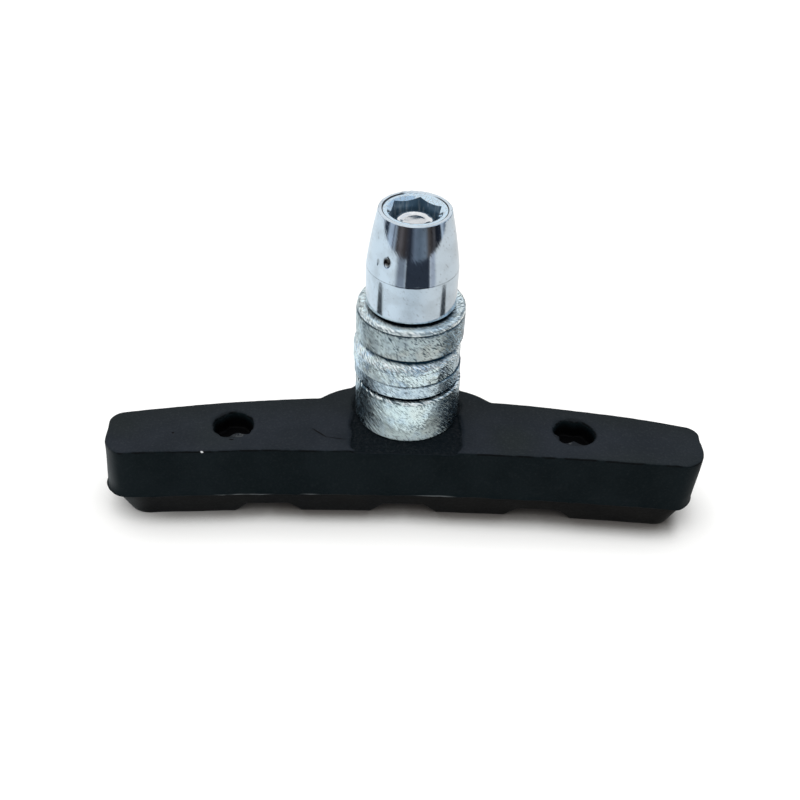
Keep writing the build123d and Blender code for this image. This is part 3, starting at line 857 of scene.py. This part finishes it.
# every row of the section goes once round the stud's axis; rough adds small dents along the radius, and hatch adds
# slanting strokes: a random surface drawn out along the path up the wall and inwards, and wound round the axis with it
def turned(outline, shape, hatch, seed):
    degrees = shape["startDegrees"] + 360 * np.arange(shape["steps"]) / shape["steps"]
    radius = outline[:, 0, None] * np.ones(shape["steps"])
    height = np.broadcast_to(outline[:, 1, None], radius.shape)
    points = np.dstack([radius[..., None] * spokes(degrees), height])
    dents = ripple(points, 0.55, seed) + 0.7 * ripple(points, 0.25, seed + 1) + 0.8 * ripple(points, 2.5, seed + 2)
    wide = outline[:, 0].max()
    path = height - radius
    drawn = np.dstack([wide * spokes(degrees + np.degrees(path / wide)), path * 0.3])
    strokes = np.clip(ripple(drawn, 0.17, seed + 4, 48), -1.6, 1.6)
    patchy = np.clip(0.9 + 0.5 * ripple(points, 1.5, seed + 5), 0.25, 1.6)
    radius = radius + shape["rough"] * dents + hatch * strokes * patchy
    points[..., :2] = radius[..., None] * spokes(degrees)
    points[..., 2] += 0.6 * shape["rough"] * ripple(points, 0.5, seed + 3) + 0.7 * hatch * strokes
    return points


def addTurned(name, points, finish, body, node, crisp=180.0):
    index = np.arange(points.shape[0] * points.shape[1]).reshape(points.shape[:2])
    addPiece(name, points.reshape(-1, 3), cells(index, True, True), finish, body, node, crisp=crisp)


washerShape = {
    "seatBall": 9.2,
    "seatGap": 0.03,
    "lowerGap": 0.66,  # open gap at the rim between the lower cup and dome
    "shoulderTop": 5.35,  # radius of the upper dome where its ball face starts
    "rimHeight": 1.87,  # upper dome's straight rim
    "shoulderHeight": 1.2,
    "bore": 3.2,
    "domeBore": 3.7,
    "edge": 0.24,
    "startDegrees": 19.0,
    "steps": 560,
    "fine": 0.09,  # step along the section
    "rough": 0.009,
    # depth of the strokes on each, and how far it sits off the stud's axis
    "hatch": {"lowerCup": 0.006, "lowerDome": 0.006, "upperDome": 0.012, "upperCup": 0.005, "flatWasher": 0.009},
    "shift": {"lowerCup": 0.08, "lowerDome": -0.06, "upperDome": -0.2, "upperCup": 0.04, "flatWasher": 0.08},
}


def makeWashers(shape, finishes):
    outer = lowerCupHigh[0]
    bore, domeBore, edge = shape["bore"], shape["domeBore"], shape["edge"]
    ball = shape["seatBall"]
    seat = ball + shape["seatGap"]

    def add(name, corners, rounds, body, node, seed):
        outline = section(corners, rounds, shape["fine"], hidden=outer - 0.75)
        points = turned(outline, shape, shape["hatch"][name], seed)
        points[..., 0] += shape["shift"][name]
        addTurned(name, points, finishes[name], body, node)

    # lower cup: a thick ring with a hollow ball seat in its top
    lowerFoot = lowerCupHigh[2] + shape["lowerGap"]
    centre = lowerFoot + math.sqrt(ball**2 - outer**2)
    mouth = math.sqrt(seat**2 - (centre - lowerCupHigh[2]) ** 2)
    hollow = ballArc(centre, seat, mouth, bore, -1)
    corners = [(bore, lowerCupLow[2]), (outer, lowerCupLow[2]), (outer, lowerCupHigh[2]), *hollow]
    add("lowerCup", corners, [0, edge, edge] + [0] * len(hollow), "pad", "lower_cup", 100)

    # lower dome: ball face down, flat face up
    face = ballArc(centre, ball, domeBore, outer, -1)
    corners = [*face, (outer, lowerDomeHigh[2]), (domeBore, lowerDomeHigh[2])]
    add("lowerDome", corners, [0] * (len(face) - 1) + [0.06, 0.16, 0.2], "pad", "lower_dome", 200)

    # upper dome: flat face down, a rim, a rounded shoulder and the ball face up
    shoulder = shape["shoulderTop"]
    rimTop = upperDomeLow[2] + shape["rimHeight"]
    shoulderTop = rimTop + shape["shoulderHeight"]
    centre = shoulderTop - math.sqrt(ball**2 - shoulder**2)
    turn = np.linspace(0.0, 1.0, 8)
    swell = np.column_stack([outer - (outer - shoulder) * turn**2, rimTop + (shoulderTop - rimTop) * turn])
    face = ballArc(centre, ball, shoulder, domeBore, 1)
    corners = [(domeBore, upperDomeLow[2]), (outer, upperDomeLow[2]), *swell, *face[1:]]
    rounds = [0.2, 0.16] + [0] * (len(corners) - 2)
    add("upperDome", corners, rounds, "upper_clamp", "upper_dome", 300)

    # upper cup: hollow ball seat below, flat face up
    mouth = math.sqrt(seat**2 - (upperCupLow[2] - centre) ** 2)
    hollow = ballArc(centre, seat, bore, mouth, 1)
    corners = [*hollow, (outer, upperCupLow[2]), (outer, upperCupHigh[2]), (bore, upperCupHigh[2])]
    add("upperCup", corners, [0] * len(hollow) + [edge, edge, 0], "upper_clamp", "upper_cup", 400)

    # flat washer, its rim rounded by tumbling
    low, high, wide = flatWasherLow[2], flatWasherHigh[2], flatWasherHigh[0]
    corners = [(bore, low), (wide, low), (wide, high), (bore, high)]
    add("flatWasher", corners, [0, 0.2, 0.34, 0], "upper_clamp", "flat_washer", 500)


nutShape = {
    "barrel": 4.9,  # height of the straight part
    "topRadius": 3.91,
    "bulge": 0.09,  # swell of the taper over a straight cone
    "lip": 0.1,
    "land": 0.34,
    "dish": 0.08,
    "countersink": 3.05,  # radius at the socket's mouth
    "countersinkSlope": 0.62,
    "acrossFlats": 5.05,
    "socketDepth": 3.2,
    "socketTurn": 19.0,  # degrees, to a corner of the socket
    "footChamfer": 0.4,
    "bore": 3.08,
    "seam": 0.012,  # depth of the line between barrel and taper
    "crisp": 32.0,
    "steps": 480,
}


# distance from the axis to the side of a hexagon with its first corner at socketTurn
def hexRadius(shape, degrees):
    fromFlat = (degrees - shape["socketTurn"]) % 60 - 30
    return shape["acrossFlats"] / 2 / np.cos(np.radians(fromFlat))


# the nut: a barrel, a taper that swells a little, a rounded lip, a dish and a hex socket, turned in one closed sheet
def makeNut(shape, look, finish):
    low, high, wide = nutLow[2], nutHigh[2], nutHigh[0]
    shoulder = low + shape["barrel"]
    bore = shape["bore"]
    topRadius, chamfer = shape["topRadius"], shape["footChamfer"]
    dishRadius = topRadius - shape["lip"] - shape["land"]
    dishLevel, socketLevel = high - shape["dish"], high - shape["socketDepth"]
    share = np.linspace(0, 1, 60)
    taper = np.column_stack([
        wide + (topRadius - wide) * share + 4 * shape["bulge"] * share * (1 - share),
        shoulder + (high - shoulder) * share,
    ])
    # the round part, from the bore's foot over the barrel, taper and lip to the dish
    seam = [(wide, shoulder - 0.06), (wide - shape["seam"], shoulder)]
    outside = [(bore, low + 0.3), (bore + 0.3, low), (wide - chamfer, low), (wide, low + chamfer), *seam, *taper[1:-4]]
    rim = [(topRadius, high), (dishRadius + 0.05, high), (dishRadius, dishLevel), (shape["countersink"], dishLevel)]
    corners = outside + rim
    rounds = [0, 0, 0.08, 0.1] + [0] * (len(outside) - 4) + [shape["lip"], 0.06, 0.06, 0]
    roundRows = section(corners, rounds, 0.14, 7, closed=False)
    # the hexagonal part: a countersink that meets the sides of the socket in arcs, and the walls down to its floor
    degrees = shape["socketTurn"] + 360 * np.arange(shape["steps"]) / shape["steps"]
    side = hexRadius(shape, degrees)
    mouth = dishLevel - shape["countersinkSlope"] * (shape["countersink"] - side)
    sink = np.array([[0.3], [0.7], [0.96], [1.0]])
    down = np.r_[0.012, np.linspace(0.05, 1, 12)][:, None]
    everyStep = np.ones(shape["steps"])
    radius = np.concatenate([
        roundRows[:, :1] * everyStep,
        shape["countersink"] + (side - shape["countersink"]) * sink,
        side * np.ones_like(down),
        bore * np.ones((12, 1)) * everyStep,
    ])
    height = np.concatenate([
        roundRows[:, 1:] * everyStep,
        dishLevel + (mouth - dishLevel) * sink,
        mouth + (socketLevel - mouth) * down,
        np.linspace(socketLevel, low + 1.0, 12)[:, None] * everyStep,
    ])
    for angle, level, halfWide, halfTall, depth, dark in look["pits"]:
        around = np.radians(turnFrom(angle, degrees)) * wide / halfWide
        out = (radius > topRadius) & (height > low + chamfer)
        radius = radius - depth * out * np.exp(-((around**2 + ((height - level) / halfTall) ** 2) ** 2))
    # nicks along the lip and a seam that wanders
    points = np.dstack([radius[..., None] * spokes(degrees), height])
    nearLip = smoothStep(height, high - 0.25, high) * (radius > dishRadius)
    nicked = 0.010 + 0.025 * np.exp(-((turnFrom(100, degrees) / 18) ** 2))
    points[..., 2] += nearLip * nicked * ripple(points, 0.3, 61)
    nearSeam = np.exp(-(((height - shoulder) / 0.12) ** 2))
    points[..., 2] += nearSeam * 0.03 * ripple(spokes(degrees) * wide, 0.5, 62)
    addTurned("nut", points, finish, "nut", "nut", shape["crisp"])


studShape = {
    "thread": 3.0,
    "pitch": 1.0,
    "threadDepth": 0.5,
    "head": 4.8,
    "headThickness": 1.6,
    "tip": 2.2,
    "tipChamfer": 0.34,
    "hollow": 0.14,  # how deep the tip's face is hammered in
    "threadEnd": 33.42,
    "steps": 150,
}


# the stud: a flat head, a right-hand thread of that pitch wound round the shank, and a worn pilot tip
def makeStud(shape, finish):
    low, high = studLow[2], studHigh[2]
    thread, tip, chamfer = shape["thread"], shape["tip"], shape["tipChamfer"]
    headTop = low + shape["headThickness"]
    shank = np.arange(headTop, shape["threadEnd"] - (thread - tip), shape["pitch"] / 8)
    rows = np.concatenate([
        [(0.02, low), (shape["head"] * 0.5, low), (shape["head"], low), (shape["head"], headTop)],
        np.column_stack([np.full(len(shank), thread), shank]),
        [(tip, shape["threadEnd"])],
        np.column_stack([np.full(8, tip), np.linspace(shape["threadEnd"] + 0.2, high - chamfer, 8)]),
        [(tip - 0.1, high - 0.1), (tip - chamfer, high)],
        np.column_stack([np.linspace(tip - 0.4, 0.02, 24), np.full(24, high)]),
    ])
    degrees = 360 * np.arange(shape["steps"]) / shape["steps"]
    radius = np.repeat(rows[:, :1], shape["steps"], 1)
    height = np.repeat(rows[:, 1:], shape["steps"], 1)
    turns = height / shape["pitch"] - degrees / 360
    flank = np.abs(2 * (turns % 1) - 1)  # 0 at a crest, 1 at a root
    threaded = (rows[:, :1] == thread) & (height > headTop + 1) & (height < shape["threadEnd"] - 1)
    radius = radius - threaded * shape["threadDepth"] * np.clip(flank * 1.3 - 0.15, 0, 1)
    points = np.dstack([radius[..., None] * spokes(degrees), height])
    # the tip's face is hammered a little hollow
    face = (height > high - 0.05) & (radius < tip)
    wander = radius + 0.03 * ripple(points[..., :2], 0.6, 72)
    points[..., 2] -= face * shape["hollow"] * (1 - smoothStep(wander, 1.15, 1.74))
    points[..., 2] += face * 0.01 * ripple(points[..., :2], 0.6, 71)
    index = np.arange(radius.size).reshape(radius.shape)
    quads = cells(index, wrapColumns=True)
    caps = [index[0, ::-1], index[-1]]
    addPiece("stud", points.reshape(-1, 3), quads, finish, "pad", "stud", caps)


rubber = rubberFinish(rubberLook, padShape["parting"], padHigh[2], padShape["pocketHalf"], padShape["pocketDepth"])
washerFoot = {"lowerCup": lowerCupLow[2], "lowerDome": lowerDomeLow[2], "upperDome": upperDomeLow[2],
              "upperCup": upperCupLow[2], "flatWasher": flatWasherLow[2]}
zinc = {
    name: zincFinish("zinc plate " + name, look, lowerCupHigh[0], washerFoot[name]) for name, look in zincLook.items()
}
plating = nutFinish(nutLook, nutShape, nutHigh[0])
studSteel, plateSteel = (steelFinish(name) for name in steelLook)
print("finishes ready")

makePad(padShape, rubber)
makeWashers(washerShape, zinc)
makeNut(nutShape, nutLook, plating)
makeStud(studShape, studSteel)
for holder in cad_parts["backing_plate"].material_slots:
    holder.material = plateSteel
print("pieces ready")

stageLook = {
    "floorSize": 4.0,  # metres
    "floor": (0.93, 0.93, 0.92),
    "glow": 0.22,  # how far over white the paper is exposed, to the camera alone
    "glowReach": 0.006,  # metres within which the object dims that
    "contactReach": 0.0028,  # metres, and more to the right, away from the light
    # strength of the painted shadow close under the object: least, then how it rises at the left and falls at the
    # right, as (from and to in metres along X, by how much)
    "contactLeast": 0.15,
    "contactRise": [(-0.034, -0.026, 0.6), (-0.026, -0.012, 0.25)],
    "contactFall": (0.0316, 0.0336, 0.7),
    # painted shadow colour of the paper close under the object
    "paintedContactShadow": (0.10, 0.09, 0.08),  # paper close under the object
    "whiteReach": (0.155, 0.450),  # how far the white sheet that the metal mirrors goes, in front and behind
    "frontEnds": (106, 122),  # degrees from the camera's side over which the front turns into the back
    "roomTop": 0.20,  # height of the dim room, as the sine of its elevation
    # the dim room past it, as (azimuth in degrees from the camera's side, colour)
    "room": [
        (-170, (0.05, 0.055, 0.06)), (-140, (0.3, 0.32, 0.35)), (-122, (0.06, 0.07, 0.08)),
        (-104, (0.75, 0.80, 0.86)), (-88, (0.03, 0.04, 0.06)), (-80, (0.04, 0.05, 0.07)),
        (-72, (0.50, 0.57, 0.67)), (-62, (0.46, 0.52, 0.62)), (-58, (0.16, 0.18, 0.22)),
        (-54, (0.36, 0.40, 0.46)), (-46, (0.07, 0.06, 0.06)), (-36, (0.13, 0.11, 0.11)),
        (-26, (0.055, 0.045, 0.045)), (-10, (0.028, 0.032, 0.045)), (2, (0.16, 0.19, 0.24)),
        (14, (0.13, 0.16, 0.20)), (28, (0.19, 0.225, 0.27)), (38, (0.10, 0.085, 0.08)),
        (46, (0.045, 0.038, 0.038)), (54, (0.09, 0.085, 0.09)), (60, (0.012, 0.014, 0.02)),
        (74, (0.02, 0.025, 0.036)), (80, (0.55, 0.61, 0.70)), (88, (0.22, 0.26, 0.32)),
        (96, (0.20, 0.22, 0.26)), (104, (0.75, 0.8, 0.86)), (122, (0.05, 0.06, 0.07)),
        (140, (0.2, 0.22, 0.25)), (165, (0.06, 0.065, 0.07)),
    ],
    # what stands nearest in front: from and to in degrees, and its colour
    "holder": [(-40, -17, (0.26, 0.29, 0.34)), (-17, 40, (0.033, 0.040, 0.055)), (40, 54, (0.46, 0.48, 0.54))],
    "holderSoft": (7, 2, 5),  # degrees over which the sides of each fade
    "holderReach": 0.067,
    "leftTint": (0.90, 0.955, 0.985),  # the paper in mirrors, on the side of the light and away from it
    "rightTint": (0.79, 0.79, 0.78),
    "tintTurn": (-60, 90),  # degrees over which one becomes the other
    "skyRight": (0.60, 0.68, 0.78),
    "skyRightEnds": ((0, 80), (130, 175)),  # degrees over which that comes and goes
    # soft shade on the paper in front: reach in metres, half width in degrees, colour and strength
    "veil": (0.030, 50, (0.55, 0.60, 0.64), 0.6),
    "worldLight": 0.5,
    "sunStrength": 1.75,
    "sunAngle": 80.0,  # degrees, a wide soft source
    "sunTurn": (6.0, -8.0),  # degrees about X and Y: from above, the front and the left
}


# whether a thing is seen by the camera, and whether in a mirror
def lightPaths(shade):
    return [shade.node("ShaderNodeLightPath", output=name) for name in ("Is Camera Ray", "Is Glossy Ray")]


# the dim room that mirrors show past the paper: colour by azimuth, and how much it lies in front
def roomColour(look, x, y):
    azimuth = x.math("ARCTAN2", x, 0 - y) * (180 / math.pi)
    stops = [((degrees + 180) / 360, colour) for degrees, colour in look["room"]]
    colour = azimuth.node("ShaderNodeValToRGB", {"stops": stops}, {"Fac": (azimuth + 180) / 360})
    return azimuth, colour, below(abs(azimuth), *look["frontEnds"])


# floor: white paper for the camera and for mirrors near the object, the dim room further off in mirrors
def makeFloor(look):
    half = look["floorSize"] / 2
    mesh = bpy.data.meshes.new("floor")
    mesh.from_pydata([(-half, -half, 0), (half, -half, 0), (half, half, 0), (-half, half, 0)], [], [(0, 1, 2, 3)])
    material, shade, shader = newFinish("floor paper")
    place = shade.node("ShaderNodeTexCoord", output="Object")
    seen, mirrored = lightPaths(shade)
    x, y = axisOf(place, "X"), axisOf(place, "Y")
    distance = shade.node("ShaderNodeVectorMath", {"operation": "LENGTH"}, {0: place}, "Value")
    azimuth, room, inFront = roomColour(look, x, y)
    nearReach, farReach = look["whiteReach"]
    past = distance - (farReach - inFront * (farReach - nearReach))
    far = between(past, -0.008, 0.008)
    veilReach, veilWidth, veilColour, veilShare = look["veil"]
    veil = between(distance, veilReach - 0.01, veilReach + 0.02) * below(abs(azimuth), 0, veilWidth)
    tint = mixed(between(azimuth, *look["tintTurn"]), look["leftTint"], look["rightTint"])
    colour = mixed(mirrored, look["floor"], tint)
    colour = mixed(veil * veilShare * mirrored, colour, veilColour)
    near = between(distance, look["holderReach"] - 0.003, look["holderReach"] + 0.003) * mirrored
    for (start, end, dark), soft in zip(look["holder"], look["holderSoft"]):
        inside = between(azimuth, start - soft, start + soft) * below(azimuth, end - soft, end + soft)
        colour = mixed(inside * near, colour, dark)
    colour = mixed(far * mirrored, colour, room)
    # the paper is a little overexposed, but the object dims that glow where it stands close, as painted shade
    reaches = look["glowReach"], (between(x, -0.02, 0.03) * 0.25 + 1) * look["contactReach"]
    unshaded, touching = (
        shade.node("ShaderNodeAmbientOcclusion", {"samples": 8}, {"Distance": reach}, "AO") for reach in reaches
    )
    glow = mixed(seen * unshaded * unshaded, (0, 0, 0), (look["glow"],) * 3)
    strength = look["contactLeast"]
    for start, end, more in look["contactRise"]:
        strength = strength + between(x, start, end) * more
    start, end, fall = look["contactFall"]
    # painted shadow: close under the object the paper is darkened, for the camera alone
    contact = below(touching, 0.46, 1.0) * strength * (1 - between(x, start, end) * fall)
    colour = mixed(seen * contact, colour, look["paintedContactShadow"])
    shade.feed(shader, {"Base Color": colour, "Roughness": 1.0, "Specular IOR Level": 0.0})
    shade.feed(shader, {"Emission Strength": 1.0, "Emission Color": glow})
    mesh.materials.append(material)
    newObject("floor", mesh)


# world: white where it is seen, white over a dim room where it is mirrored, a plain level where it lights
def makeWorld(look):
    world = bpy.data.worlds.new("studio")
    bpy.context.scene.world = world
    world.use_nodes = True
    shade = Wire(world.node_tree)
    background = world.node_tree.nodes["Background"]
    camera, mirrored = lightPaths(shade)
    shade.feed(background, {"Strength": larger(camera, mirrored) * (1 - look["worldLight"]) + look["worldLight"]})
    way = shade.node("ShaderNodeTexCoord", output="Generated")
    azimuth, room = roomColour(look, axisOf(way, "X"), axisOf(way, "Y"))[:2]
    dim = below(axisOf(way, "Z"), look["roomTop"] - 0.07, look["roomTop"] + 0.07) * mirrored
    comes, goes = look["skyRightEnds"]
    rightward = between(azimuth, *comes) * below(azimuth, *goes) * mirrored
    sky = mixed(rightward, (1, 1, 1), look["skyRight"])
    shade.feed(background, {"Color": mixed(dim, sky, room)})
    lamp = bpy.data.lights.new("softSun", "SUN")
    lamp.energy = look["sunStrength"]
    lamp.angle = math.radians(look["sunAngle"])
    sun = newObject("softSun", lamp)
    sun.rotation_euler = (*(math.radians(turn) for turn in look["sunTurn"]), 0)
    sun.visible_glossy = False


cameraView = {
    "place": (-3.5028, -96.2464, 89.4778),
    "pan": -0.0288,
    "tilt": -0.6826,
    "roll": 0.044,
    "focalPixels": 1039.74,
    "imagePixels": 800,
}


# camera from its place and three turns in radians: pan about Z, tilt above the horizon, roll about the line of sight
def makeCamera(view):
    turns = [(view["pan"], "Z"), (math.pi / 2 + view["tilt"], "X"), (view["roll"], "Z")]
    pan, tilt, roll = (Matrix.Rotation(turn, 4, axis) for turn, axis in turns)
    lens = bpy.data.cameras.new("camera")
    lens.sensor_width = 36.0
    lens.lens = lens.sensor_width * view["focalPixels"] / view["imagePixels"]
    lens.clip_start = 0.005
    camera = newObject("camera", lens)
    camera.matrix_world = Matrix.Translation([v * mm for v in view["place"]]) @ pan @ tilt @ roll
    bpy.context.scene.camera = camera


makeFloor(stageLook)
makeWorld(stageLook)
makeCamera(cameraView)
bpy.context.scene.view_settings.view_transform = "Standard"
print("stage ready")
